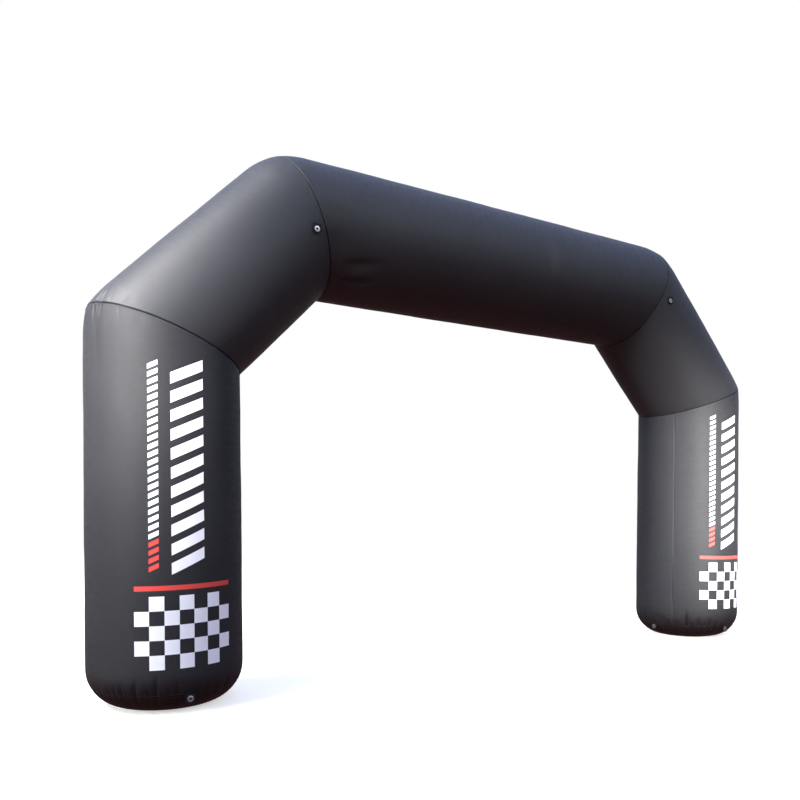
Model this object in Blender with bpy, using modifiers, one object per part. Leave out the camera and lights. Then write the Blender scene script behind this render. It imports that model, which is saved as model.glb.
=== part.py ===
"""Inflatable event arch.

Five airtight tubes meet at mitred seams: a column and a shoulder on each side, and the beam between
them. Each column stands on a round bottom panel, and ten tabs with metal eyelets take the guy ropes.
Metres, +Z up. X runs along the arch, -Y is its front, and the origin is on the ground in its middle.
"""

import math
from typing import NamedTuple

import bmesh
import bpy
from mathutils import Matrix, Vector

# Airtight tube and the lines of its axis, on the left side
TUBE_RADIUS = 0.5
FOOT_HALF_SPAN = 2.633
ELBOW_HALF_SPAN = 2.690
ELBOW_HEIGHT = 2.405
CROWN_HALF_SPAN = 1.775
CROWN_HEIGHT = 3.365
SEAM_GAP = 0.0003

# Mitred seams: the outer side of a bend is held in by its seam and fills out again along the tube
ELBOW_DRAW = 0.020
CROWN_DRAW = 0.037
SEAM_REACH = 0.20
SHOULDER_SWELL = 0.003
BEAM_SWELL = 0.003
COLUMN_SWELL = 0.001

# Foot of a column: a flat round contact, a rounded corner and the seam of the bottom panel
CONTACT_RADIUS = 0.255
CORNER_RADIUS = TUBE_RADIUS - CONTACT_RADIUS
BASE_SEAM_HEIGHT = 0.120
GATHERS = 24
GATHER_DEPTH = 0.007
GATHER_HEIGHT = 0.18
GATHER_RISE = 0.03
GATHER_UNEVENNESS = 0.3
GATHER_WAVES = 5

# Tabs and eyelets
TAB_WIDTH = 0.066
TAB_HEIGHT = 0.070
TAB_THICKNESS = 0.003
TAB_CORNER = 0.024
TAB_GAP = 0.0005
EYELET_BELOW_TOP = 0.040
EYELET_BORE = 0.0085
EYELET_BARREL = 0.0100
EYELET_RIM = 0.0200
EYELET_CREST = 0.0130
EYELET_RISE = 0.0016
EYELET_LIP = 0.0008
EYELET_FIT = 0.0003
BASE_EYELET_HEIGHT = 0.100

# Eyelets as uneven as the photo shows them: a shoulder's half span and height, and one sewn out of line
SHOULDER_EYELETS = {"left": (1.796, 3.213), "right": (1.831, 3.237)}
OUT_OF_LINE = {"base_left_front": Vector((0.023, 0, 0))}

# Fineness of the round shapes
TUBE_SEGMENTS = 48
EYELET_SEGMENTS = 16
CORNER_STEPS = 5
TAB_CORNER_STEPS = 4
COLUMN_LOOPS = 3
SHOULDER_LOOPS = 2
BEAM_LOOPS = 4
SMOOTH_ANGLE = math.radians(35)
AXIS_MERGE = 0.00001

# Loops of points near an end, by their distance from it
SEAM_LOOPS = tuple(SEAM_REACH * share for share in (0.0, 0.15, 0.4, 0.7, 1.0))
FOOT_LOOPS = (0.0, 0.022, 0.05, 0.085, 0.125, 0.18)

FRONT = Vector((0, -1, 0))
UP = Vector((0, 0, 1))


class Finish(NamedTuple):
    """A surface: its colour, roughness and how metallic it is."""

    colour: tuple
    roughness: float
    metallic: float


class Bend(NamedTuple):
    """The plane that ends a tube, the loops of points beside it, and how far a seam holds it in."""

    point: Vector
    normal: Vector
    loops: tuple
    draw: float


class Tube(NamedTuple):
    """A straight length of airtight tube between two planes."""

    name: str
    start: Vector
    end: Vector
    first: Bend
    last: Bend
    middle_loops: int
    swell: float
    has_foot: bool


class Anchor(NamedTuple):
    """A tab with an eyelet: where its eyelet's middle is, and the way it faces."""

    name: str
    place: Vector
    facing: Vector


FINISHES = {
    "black_coated_cloth": Finish((0.018, 0.018, 0.022, 1), 0.42, 0.0),
    "black_bottom_cloth": Finish((0.012, 0.012, 0.014, 1), 0.60, 0.0),
    "black_tab_cloth": Finish((0.015, 0.015, 0.017, 1), 0.65, 0.0),
    "plated_steel": Finish((0.72, 0.72, 0.70, 1), 0.30, 1.0),
}


def material(name):
    """The Principled material of a finish, made once."""
    made = bpy.data.materials.get(name)
    if made:
        return made
    finish = FINISHES[name]
    made = bpy.data.materials.new(name)
    made.use_nodes = True
    shader = made.node_tree.nodes["Principled BSDF"]
    shader.inputs["Base Color"].default_value = finish.colour
    shader.inputs["Roughness"].default_value = finish.roughness
    shader.inputs["Metallic"].default_value = finish.metallic
    return made


def add_object(name, data, arch, finish):
    """An object of this mesh or curve in the arch's collection, carried by its empty."""
    piece = bpy.data.objects.new(name, data)
    arch.users_collection[0].objects.link(piece)
    piece.parent = arch
    if not data.materials:
        data.materials.append(material(finish))
    return piece


def axis_half_span(height):
    """How far a column's axis is from the arch's middle at a height: the columns lean out a little."""
    return FOOT_HALF_SPAN + (ELBOW_HALF_SPAN - FOOT_HALF_SPAN) * height / ELBOW_HEIGHT


def foot_radius(height):
    """A column's radius at a height: its bottom corner is rounded down to the flat contact."""
    if height >= CORNER_RADIUS:
        return TUBE_RADIUS
    below = 1 - height / CORNER_RADIUS
    return CONTACT_RADIUS + CORNER_RADIUS * math.sqrt(1 - below * below)


def gather_depth(azimuth, above_seam):
    """How far the cloth dips between two gathers, a little unevenly, above the bottom panel's seam."""
    if above_seam >= GATHER_HEIGHT:
        return 0.0
    dip = 0.5 - 0.5 * math.cos(GATHERS * azimuth)
    uneven = 1 - GATHER_UNEVENNESS + GATHER_UNEVENNESS * math.sin(GATHER_WAVES * azimuth + 1)
    rise = min(1.0, above_seam / GATHER_RISE)
    fade = (1 - above_seam / GATHER_HEIGHT) ** 2
    return GATHER_DEPTH * dip * uneven * rise * fade


def seam_draw(bend, azimuth, distance):
    """How far a mitred seam holds in the outer side of the bend, at a distance from it."""
    outward = math.cos(azimuth)
    if outward <= 0 or distance >= SEAM_REACH:
        return 0.0
    return bend.draw * outward**2 * (1 - distance / SEAM_REACH) ** 2


def loop_count(tube):
    """How many loops of points a tube has, with its two ends."""
    return len(tube.first.loops) + tube.middle_loops + len(tube.last.loops)


def plane_reach(tube, bend, along, edge):
    """How far along the axis a line of the wall meets a bend's plane, edge being its offset from it."""
    return (bend.point - tube.start - edge).dot(bend.normal) / along.dot(bend.normal)


def place_along(tube, station, low, high):
    """Where a loop stands between the two ends of its line: close beside the ends, evenly between."""
    near_low = low + tube.first.loops[-1]
    near_high = high - tube.last.loops[-1]
    from_end = loop_count(tube) - 1 - station
    if station < len(tube.first.loops):
        return low + tube.first.loops[station]
    if from_end < len(tube.last.loops):
        return high - tube.last.loops[from_end]
    step = station - len(tube.first.loops) + 1
    return near_low + (near_high - near_low) * step / (tube.middle_loops + 1)


def tube_point(tube, station, azimuth):
    """Where a point of the wall lies, from its loop's number and its azimuth, 0 being the outer side."""
    along = (tube.end - tube.start).normalized()
    radial = FRONT.cross(along) * math.cos(azimuth) + FRONT * math.sin(azimuth)
    first_radius = TUBE_RADIUS - seam_draw(tube.first, azimuth, 0)
    if tube.has_foot:
        first_radius = foot_radius(BASE_SEAM_HEIGHT)
    last_radius = TUBE_RADIUS - seam_draw(tube.last, azimuth, 0)
    low = plane_reach(tube, tube.first, along, radial * first_radius)
    high = plane_reach(tube, tube.last, along, radial * last_radius)
    at = place_along(tube, station, low, high)
    share = (at - low) / (high - low)
    radius = TUBE_RADIUS + tube.swell * 4 * share * (1 - share)
    radius -= seam_draw(tube.first, azimuth, at - low) + seam_draw(tube.last, azimuth, high - at)
    if tube.has_foot:
        radius += foot_radius(BASE_SEAM_HEIGHT + at - low) - TUBE_RADIUS
        radius -= gather_depth(azimuth, at - low)
    return tube.start + along * at + radial * radius


def add_tube(tube, arch):
    """A cylinder with a loop cut at each station, its points carried to their places on the wall."""
    stations = loop_count(tube)
    bm = bmesh.new()
    bmesh.ops.create_cone(
        bm,
        cap_ends=True,
        segments=TUBE_SEGMENTS,
        radius1=1,
        radius2=1,
        depth=stations - 1,
        matrix=Matrix.Translation((0, 0, (stations - 1) / 2)),
    )
    for station in range(1, stations - 1):
        everything = bm.verts[:] + bm.edges[:] + bm.faces[:]
        bmesh.ops.bisect_plane(bm, geom=everything, plane_co=UP * station, plane_no=UP)
    for vert in bm.verts:
        azimuth = math.atan2(vert.co.y, vert.co.x)
        vert.co = tube_point(tube, round(vert.co.z), azimuth)
    mesh = bpy.data.meshes.new(tube.name)
    bm.to_mesh(mesh)
    bm.free()
    mesh.shade_smooth()
    mesh.set_sharp_from_angle(angle=SMOOTH_ANGLE)
    return add_object(tube.name, mesh, arch, "black_coated_cloth")


def add_screw(piece, steps):
    """Turns a profile once about its own Z axis."""
    screw = piece.modifiers.new("turn", "SCREW")
    screw.steps = steps
    screw.render_steps = steps
    screw.use_merge_vertices = True
    screw.merge_threshold = AXIS_MERGE


def add_mirrored(piece, name):
    """The same piece on the right-hand side of the arch."""
    twin = add_object(name, piece.data, piece.parent, piece.data.materials[0].name)
    twin.location = Vector((-piece.location.x, piece.location.y, piece.location.z))
    twin.scale.x = -1
    for screw in piece.modifiers:
        add_screw(twin, screw.steps)


def profile_mesh(name, points, closed):
    """A mesh of edges through points given as radius and height."""
    count = len(points)
    edges = [(i, i + 1) for i in range(count - 1)]
    if closed:
        edges.append((count - 1, 0))
    mesh = bpy.data.meshes.new(name)
    mesh.from_pydata([(radius, 0, height) for radius, height in points], edges, [])
    return mesh


def add_base_panel(name, arch):
    """The bottom panel, turned: from its seam round the corner to the flat contact."""
    seam = BASE_SEAM_HEIGHT - SEAM_GAP / 2
    steepest = math.acos(1 - seam / CORNER_RADIUS)
    points = [(0, seam)]
    for step in range(CORNER_STEPS + 1):
        turn = steepest * (1 - step / CORNER_STEPS)
        radius = CONTACT_RADIUS + CORNER_RADIUS * math.sin(turn)
        points.append((radius, CORNER_RADIUS * (1 - math.cos(turn))))
    points.append((0, 0))
    panel = add_object(name, profile_mesh(name, points, closed=False), arch, "black_bottom_cloth")
    panel.location.x = -axis_half_span(BASE_SEAM_HEIGHT)
    add_screw(panel, TUBE_SEGMENTS)
    return panel


def tab_curve():
    """A flat tab hanging from its top edge, with round lower corners and a round hole for its eyelet."""
    curve = bpy.data.curves.new("tab", "CURVE")
    curve.dimensions = "2D"
    curve.fill_mode = "BOTH"
    curve.extrude = TAB_THICKNESS / 2
    half = TAB_WIDTH / 2
    top = EYELET_BELOW_TOP
    bottom = top - TAB_HEIGHT
    outline = [(half, top), (-half, top)]
    for side, first_turn in ((-1, math.pi), (1, 1.5 * math.pi)):
        for step in range(TAB_CORNER_STEPS + 1):
            turn = first_turn + step * math.pi / 2 / TAB_CORNER_STEPS
            across = side * (half - TAB_CORNER) + TAB_CORNER * math.cos(turn)
            outline.append((across, bottom + TAB_CORNER + TAB_CORNER * math.sin(turn)))
    hole_radius = EYELET_BARREL + EYELET_FIT
    hole = []
    for step in range(EYELET_SEGMENTS):
        turn = step * math.tau / EYELET_SEGMENTS
        hole.append((hole_radius * math.cos(turn), hole_radius * math.sin(turn)))
    for loop in (outline, hole):
        spline = curve.splines.new("POLY")
        spline.use_cyclic_u = True
        spline.points.add(len(loop) - 1)
        for point, (across, height) in zip(spline.points, loop):
            point.co = (across, height, 0, 1)
    return curve


def eyelet_profile():
    """The eyelet's section: a barrel through the tab with a domed flange on each side."""
    face = TAB_THICKNESS / 2 + EYELET_FIT
    upper = [
        (EYELET_BORE, face + EYELET_LIP),
        (EYELET_CREST, face + EYELET_RISE),
        (EYELET_RIM, face),
        (EYELET_BARREL, face),
    ]
    lower = [(radius, -height) for radius, height in reversed(upper)]
    return profile_mesh("eyelet", upper + lower, closed=True)


def facing_matrix(place, facing):
    """Stands a flat piece up at a place: its own Z faces outwards and its own Y is up."""
    across = UP.cross(facing)
    turn = Matrix((across, UP, facing)).transposed().to_4x4()
    return Matrix.Translation(place) @ turn


def anchors():
    """The ten tabs: three round each foot, and one on the front and back of each shoulder."""
    found = []
    root_height = BASE_EYELET_HEIGHT + EYELET_BELOW_TOP
    stand_off = TAB_GAP + TAB_THICKNESS / 2
    for side, sign in (("left", -1), ("right", 1)):
        inward = Vector((-sign, 0, 0))
        foot = Vector((sign * axis_half_span(root_height), 0, BASE_EYELET_HEIGHT))
        faces = (("front", FRONT), ("back", -FRONT), ("inner", inward))
        for label, facing in faces:
            name = f"base_{side}_{label}"
            place = foot + facing * (foot_radius(root_height) + stand_off) + OUT_OF_LINE.get(name, Vector())
            found.append(Anchor(name, place, facing))
        half_span, height = SHOULDER_EYELETS[side]
        shoulder = Vector((sign * half_span, 0, height))
        for label, facing in faces[:2]:
            place = shoulder + facing * (TUBE_RADIUS + SHOULDER_SWELL / 2 + stand_off)
            found.append(Anchor(f"shoulder_{side}_{label}", place, facing))
    return found


def add_anchors(arch):
    """Each anchor's tab, and the eyelet clenched in its hole."""
    tab_data = tab_curve()
    eyelet_data = eyelet_profile()
    for anchor in anchors():
        stand = facing_matrix(anchor.place, anchor.facing)
        tab = add_object(f"tab_{anchor.name}", tab_data, arch, "black_tab_cloth")
        tab.matrix_world = stand
        eyelet = add_object(f"eyelet_{anchor.name}", eyelet_data, arch, "plated_steel")
        eyelet.matrix_world = stand
        add_screw(eyelet, EYELET_SEGMENTS)


def mitre(before, at, after):
    """The normal of the plane that halves the bend between two axes."""
    return ((at - before).normalized() + (after - at).normalized()).normalized()


def add_tubes(arch):
    """The columns, the shoulders and the beam."""
    foot = Vector((-FOOT_HALF_SPAN, 0, 0))
    elbow = Vector((-ELBOW_HALF_SPAN, 0, ELBOW_HEIGHT))
    crown = Vector((-CROWN_HALF_SPAN, 0, CROWN_HEIGHT))
    far_crown = Vector((CROWN_HALF_SPAN, 0, CROWN_HEIGHT))
    base_seam = Vector((-axis_half_span(BASE_SEAM_HEIGHT), 0, BASE_SEAM_HEIGHT))
    elbow_normal = mitre(foot, elbow, crown)
    crown_normal = mitre(elbow, crown, far_crown)
    far_normal = Vector((crown_normal.x, 0, -crown_normal.z))

    def elbow_seam(side):
        return Bend(elbow + elbow_normal * side * SEAM_GAP / 2, elbow_normal, SEAM_LOOPS, ELBOW_DRAW)

    def crown_seam(point, normal, side):
        return Bend(point + normal * side * SEAM_GAP / 2, normal, SEAM_LOOPS, CROWN_DRAW)

    ground = Bend(base_seam + UP * SEAM_GAP / 2, UP, FOOT_LOOPS, 0.0)
    column = Tube(
        name="column_left",
        start=foot,
        end=elbow,
        first=ground,
        last=elbow_seam(-1),
        middle_loops=COLUMN_LOOPS,
        swell=COLUMN_SWELL,
        has_foot=True,
    )
    shoulder = Tube(
        name="shoulder_left",
        start=elbow,
        end=crown,
        first=elbow_seam(1),
        last=crown_seam(crown, crown_normal, -1),
        middle_loops=SHOULDER_LOOPS,
        swell=SHOULDER_SWELL,
        has_foot=False,
    )
    beam = Tube(
        name="beam",
        start=crown,
        end=far_crown,
        first=crown_seam(crown, crown_normal, 1),
        last=crown_seam(far_crown, far_normal, -1),
        middle_loops=BEAM_LOOPS,
        swell=BEAM_SWELL,
        has_foot=False,
    )
    add_mirrored(add_tube(column, arch), "column_right")
    add_mirrored(add_tube(shoulder, arch), "shoulder_right")
    add_tube(beam, arch)


def clear_scene():
    """Empties the scene that Blender starts with."""
    for old in list(bpy.data.objects):
        bpy.data.objects.remove(old, do_unlink=True)


def main():
    """Builds the arch under one empty, in a collection of its own."""
    clear_scene()
    collection = bpy.data.collections.new("inflatable_arch")
    bpy.context.scene.collection.children.link(collection)
    arch = bpy.data.objects.new("arch_origin", None)
    collection.objects.link(arch)
    add_tubes(arch)
    add_mirrored(add_base_panel("base_panel_left", arch), "base_panel_right")
    add_anchors(arch)


main()
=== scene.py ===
"""Looks of an inflatable event arch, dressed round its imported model.

Five airtight tubes of black coated cloth stand as an arch: a column and a shoulder on each side, and
the beam between them. Each tube gets its sewn seams, gathers, creases, stitching and weave, and each
column its printed band. The bottom panels, tabs and eyelets are finished, and a pale studio is set
round the arch. Metres, +Z up. X runs along the arch, and -Y is its front.
"""

import logging
import math
from dataclasses import dataclass
from enum import Enum

import bpy
import numpy as np
from mathutils import Matrix, Vector
from mathutils.bvhtree import BVHTree


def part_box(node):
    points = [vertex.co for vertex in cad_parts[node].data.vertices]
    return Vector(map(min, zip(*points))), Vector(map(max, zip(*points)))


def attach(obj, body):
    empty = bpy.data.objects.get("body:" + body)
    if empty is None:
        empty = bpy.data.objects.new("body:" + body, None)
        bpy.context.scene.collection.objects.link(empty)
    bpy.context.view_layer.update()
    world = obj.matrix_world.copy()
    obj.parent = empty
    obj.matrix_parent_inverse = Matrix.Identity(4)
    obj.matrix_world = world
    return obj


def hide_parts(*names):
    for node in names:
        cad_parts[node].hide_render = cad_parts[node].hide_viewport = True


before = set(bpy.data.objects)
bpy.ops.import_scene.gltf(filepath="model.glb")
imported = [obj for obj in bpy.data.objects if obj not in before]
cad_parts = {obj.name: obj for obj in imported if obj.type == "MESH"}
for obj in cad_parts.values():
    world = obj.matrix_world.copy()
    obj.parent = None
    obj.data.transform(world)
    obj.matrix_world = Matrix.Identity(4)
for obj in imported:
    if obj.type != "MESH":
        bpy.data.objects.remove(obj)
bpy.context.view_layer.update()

Array = np.ndarray
Socket = bpy.types.NodeSocket
Colour = tuple[float, float, float, float]
LOG = logging.getLogger("inflatable_arch")
BODY = "root"
FRONT = np.array((0.0, -1.0, 0.0))
UP = np.array((0.0, 0.0, 1.0))
MILLIMETRE = 0.001
SHARP_EDGE_DEG = 40.0


class Side(Enum):
    """Which half of the arch a piece belongs to, as the sign of its X."""

    LEFT = -1
    MIDDLE = 0
    RIGHT = 1


class Slot(Enum):
    """Names of the material slots."""

    TUBE = "tube_cloth"
    BOTTOM = "bottom_cloth"
    TAB = "tab_cloth"
    EYELET = "eyelet_metal"


def unit(vector: Array) -> Array:
    """The vector at length one."""
    return vector / np.linalg.norm(vector, axis=-1, keepdims=True)


def smooth_step(value: Array, low: float, high: float) -> Array:
    """A smooth rise from 0 at low to 1 at high."""
    share = np.clip((value - low) / (high - low), 0.0, 1.0)
    return share * share * (3.0 - 2.0 * share)


def wrapped(angle: Array) -> Array:
    """The angle brought to within half a turn of zero."""
    return (angle + math.pi) % math.tau - math.pi


@dataclass(frozen=True)
class ArchSizes:
    """The driving sizes of the arch, the same as its solids', in metres."""

    tube_radius: float = 0.5
    foot_half_span: float = 2.633
    elbow_half_span: float = 2.690
    elbow_height: float = 2.405
    crown_half_span: float = 1.775
    crown_height: float = 3.365
    seam_gap: float = 0.0003
    elbow_draw: float = 0.020
    crown_draw: float = 0.037
    seam_reach: float = 0.20
    column_swell: float = 0.001
    shoulder_swell: float = 0.003
    beam_swell: float = 0.003
    contact_radius: float = 0.255
    base_seam_height: float = 0.120

    @property
    def corner_radius(self) -> float:
        """How round the bottom corner of a column is."""
        return self.tube_radius - self.contact_radius

    def axis_half_span(self, height: float) -> float:
        """How far a column's axis is from the middle of the arch at a height."""
        lean = (self.elbow_half_span - self.foot_half_span) / self.elbow_height
        return self.foot_half_span + lean * height

    def foot_radius(self, height: Array) -> Array:
        """A column's radius at a height, with its rounded bottom corner."""
        below = np.clip(1.0 - height / self.corner_radius, 0.0, 1.0)
        return self.contact_radius + self.corner_radius * np.sqrt(1.0 - below * below)


@dataclass(frozen=True)
class SewnSeam:
    """A plain seam between two edges of cloth: a narrow groove with a puffed lip on each side."""

    depth: float = 0.0052
    half_width: float = 0.0040
    lip_height: float = 0.0002
    lip_place: float = 0.0105
    lip_width: float = 0.0050

    def groove(self, distance: Array) -> Array:
        """How deep the groove is at a distance from the seam."""
        return self.depth * np.exp(-((distance / self.half_width) ** 2))

    def lip(self, distance: Array) -> Array:
        """How far the lip stands out at a distance from the seam."""
        return self.lip_height * np.exp(-(((np.abs(distance) - self.lip_place) / self.lip_width) ** 2))


@dataclass(frozen=True)
class Crease:
    """A trough that leaves a seam and runs into the cloth, or a ridge where its depth is negative.

    Its azimuth is 0 on the tube's outer side and 90 on its front. It starts at a distance from the
    seam, reaches so far, and drifts round the tube by its slant for each metre along it. The larger its
    fade, the nearer its start it is deepest. Its fold is 2 where it is rounded and less where it is sharp.
    Its far side is so many times as wide as its near side, which is the outer one.
    """

    azimuth_deg: float
    start: float
    reach: float
    width: float
    depth: float
    slant: float = 0.0
    fade: float = 2.0
    fold: float = 2.0
    far_side: float = 1.0

    def hollow(self, azimuth: Array, distance: Array, radius: float) -> Array:
        """How deep the trough is.

        Args:
            azimuth: Azimuths of the points, in radians.
            distance: Their distances from the seam.
            radius: Radius of the tube.

        Returns:
            The depth at each point.
        """
        along = np.clip((distance - self.start) / self.reach, 0.0, 1.0)
        deepest = 1.0 / (1.0 + self.fade)
        window = along * (1.0 - along) ** self.fade / (deepest * (1.0 - deepest) ** self.fade)
        across = wrapped(azimuth - math.radians(self.azimuth_deg)) * radius - self.slant * distance
        width = np.where(across > 0.0, self.width * self.far_side, self.width)
        return self.depth * window * np.exp(-(np.abs(across / width) ** self.fold))


@dataclass(frozen=True)
class CreaseScatter:
    """Rules for the creases that are left to chance round one seam."""

    count: int
    reach: tuple[float, float]
    width: tuple[float, float]
    depth: tuple[float, float]
    outer_share: float = 0.0
    fade: float = 2.0
    fold: float = 2.0
    smooth_at: tuple[float, ...] = ()
    smooth_within: float = 7.0
    smooth_share: float = 0.15
    stray: tuple[float, float] = (0.12, 0.88)
    slant: tuple[float, float] = (-0.12, 0.12)

    def is_smooth(self, azimuth_deg: float) -> bool:
        """Whether an azimuth lies where the cloth is nearly smooth."""
        away = [abs((azimuth_deg - place + 180.0) % 360.0 - 180.0) for place in self.smooth_at]
        return any(distance < self.smooth_within for distance in away)

    def creases(self, seed: int) -> tuple[Crease, ...]:
        """The creases that a seed gives.

        Args:
            seed: Starts the random draws.

        Returns:
            One crease for each place round the seam, deeper on the outer side by outer_share.
        """
        draw = np.random.default_rng(seed)
        found = []
        for number in range(self.count):
            azimuth = (number + draw.uniform(*self.stray)) * 360.0 / self.count
            outward = 0.5 + 0.5 * math.cos(math.radians(azimuth))
            depth = draw.uniform(*self.depth) * (1.0 - self.outer_share * (1.0 - outward))
            if self.is_smooth(azimuth):
                depth *= self.smooth_share
            found.append(
                Crease(
                    azimuth_deg=azimuth,
                    start=0.0,
                    reach=draw.uniform(*self.reach),
                    width=draw.uniform(*self.width),
                    depth=depth,
                    slant=draw.uniform(*self.slant),
                    fade=self.fade,
                    fold=self.fold,
                )
            )
        return tuple(found)


@dataclass(frozen=True)
class Ripple:
    """A faint band of unevenness: its height, its length along the tube, its waves round it and its phase."""

    height: float
    length: float
    waves: int
    phase: float


RIPPLES = (
    Ripple(height=0.00008, length=0.093, waves=1, phase=0.4),
    Ripple(height=0.00014, length=0.151, waves=2, phase=2.1),
    Ripple(height=0.00020, length=0.237, waves=-1, phase=4.0),
    Ripple(height=0.00050, length=0.520, waves=3, phase=1.3),
    Ripple(height=0.00070, length=0.910, waves=-2, phase=5.2),
)


@dataclass(frozen=True)
class TubeEnd:
    """The plane that ends a tube, how far its seam holds in the cloth, and the creases that leave it."""

    point: Array
    normal: Array
    draw: float
    creases: tuple[Crease, ...]


def mesh_object(
    name: str, points: Array, faces: list, material: bpy.types.Material
) -> bpy.types.Object:
    """Makes a smooth-shaded piece that rides on the arch.

    Args:
        name: The piece's name.
        points: Its points, in the arch's own frame.
        faces: The point numbers of each face, turning to the left as seen from outside.
        material: Its finish.

    Returns:
        The new object, linked to the scene.
    """
    mesh = bpy.data.meshes.new(name)
    mesh.from_pydata(points.tolist(), [], faces)
    mesh.materials.append(material)
    mesh.shade_smooth()
    mesh.set_sharp_from_angle(angle=math.radians(SHARP_EDGE_DEG))
    piece = bpy.data.objects.new(name, mesh)
    bpy.context.scene.collection.objects.link(piece)
    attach(piece, BODY)
    LOG.info("%s: %d points, %d faces", name, len(points), len(faces))
    return piece


def lay_cloth_map(mesh: bpy.types.Mesh, places: Array) -> None:
    """Stores where each face corner lies on the flat cloth.

    Args:
        mesh: The mesh.
        places: Two lengths in metres for each face corner, in the order of the faces.
    """
    layer = mesh.uv_layers.new(name="cloth")
    layer.uv.foreach_set("vector", places.astype(np.float32).ravel())


@dataclass(frozen=True)
class Stitching:
    """A row of lockstitches, each a short round thread that dips into the cloth at both ends.

    The dip and the rise are in radii of the thread, and the bend is a share of half the stitch.
    """

    pitch: float = 0.0080
    length: float = 0.0060
    thread: float = 0.0008
    sides: int = 6
    dip: float = 0.5
    rise: float = 0.35
    bend: float = 0.45

    def along(self, line: Array, outward: Array) -> tuple[Array, Array]:
        """The stitches of one row.

        Args:
            line: Close points along the row, on the surface of the cloth.
            outward: The direction out of the cloth at each of them.

        Returns:
            The stitches' points, and the faces as triangles of point numbers.
        """
        steps = np.linalg.norm(np.diff(line, axis=0), axis=1)
        gone = np.concatenate(([0.0], np.cumsum(steps)))
        count = int(gone[-1] / self.pitch)
        middles = (np.arange(count) + 0.5) * gone[-1] / count

        def at(distance: Array, values: Array) -> Array:
            return np.stack([np.interp(distance, gone, values[:, axis]) for axis in range(3)], axis=1)

        half = self.length / 2
        ahead = unit(at(middles + half, line) - at(middles - half, line))
        out = unit(at(middles, outward))
        across = np.cross(ahead, out)
        rows = [at(middles - half, line) - out * self.thread * self.dip]
        for place in (-self.bend, self.bend):
            centre = at(middles + half * place, line) + out * self.thread * self.rise
            for side in range(self.sides):
                turn = math.tau * side / self.sides
                rows.append(centre + (out * math.cos(turn) + across * math.sin(turn)) * self.thread)
        rows.append(at(middles + half, line) - out * self.thread * self.dip)
        points = np.stack(rows, axis=1)
        pattern = []
        for side in range(self.sides):
            here, after = 1 + side, 1 + (side + 1) % self.sides
            pattern.append((0, here, after))
            pattern.append((here, here + self.sides, after + self.sides))
            pattern.append((here, after + self.sides, after))
            pattern.append((here + self.sides, 1 + 2 * self.sides, after + self.sides))
        faces = np.array(pattern)[None] + (np.arange(count) * points.shape[1])[:, None, None]
        return points.reshape(-1, 3), faces.reshape(-1, 3)


def join_rows(rows: list[tuple[Array, Array]]) -> tuple[Array, list]:
    """Joins the points and faces of several rows of stitches."""
    points, faces, first = [], [], 0
    for row_points, row_faces in rows:
        points.append(row_points)
        faces.append(row_faces + first)
        first += len(row_points)
    return np.concatenate(points), np.concatenate(faces).tolist()


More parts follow.
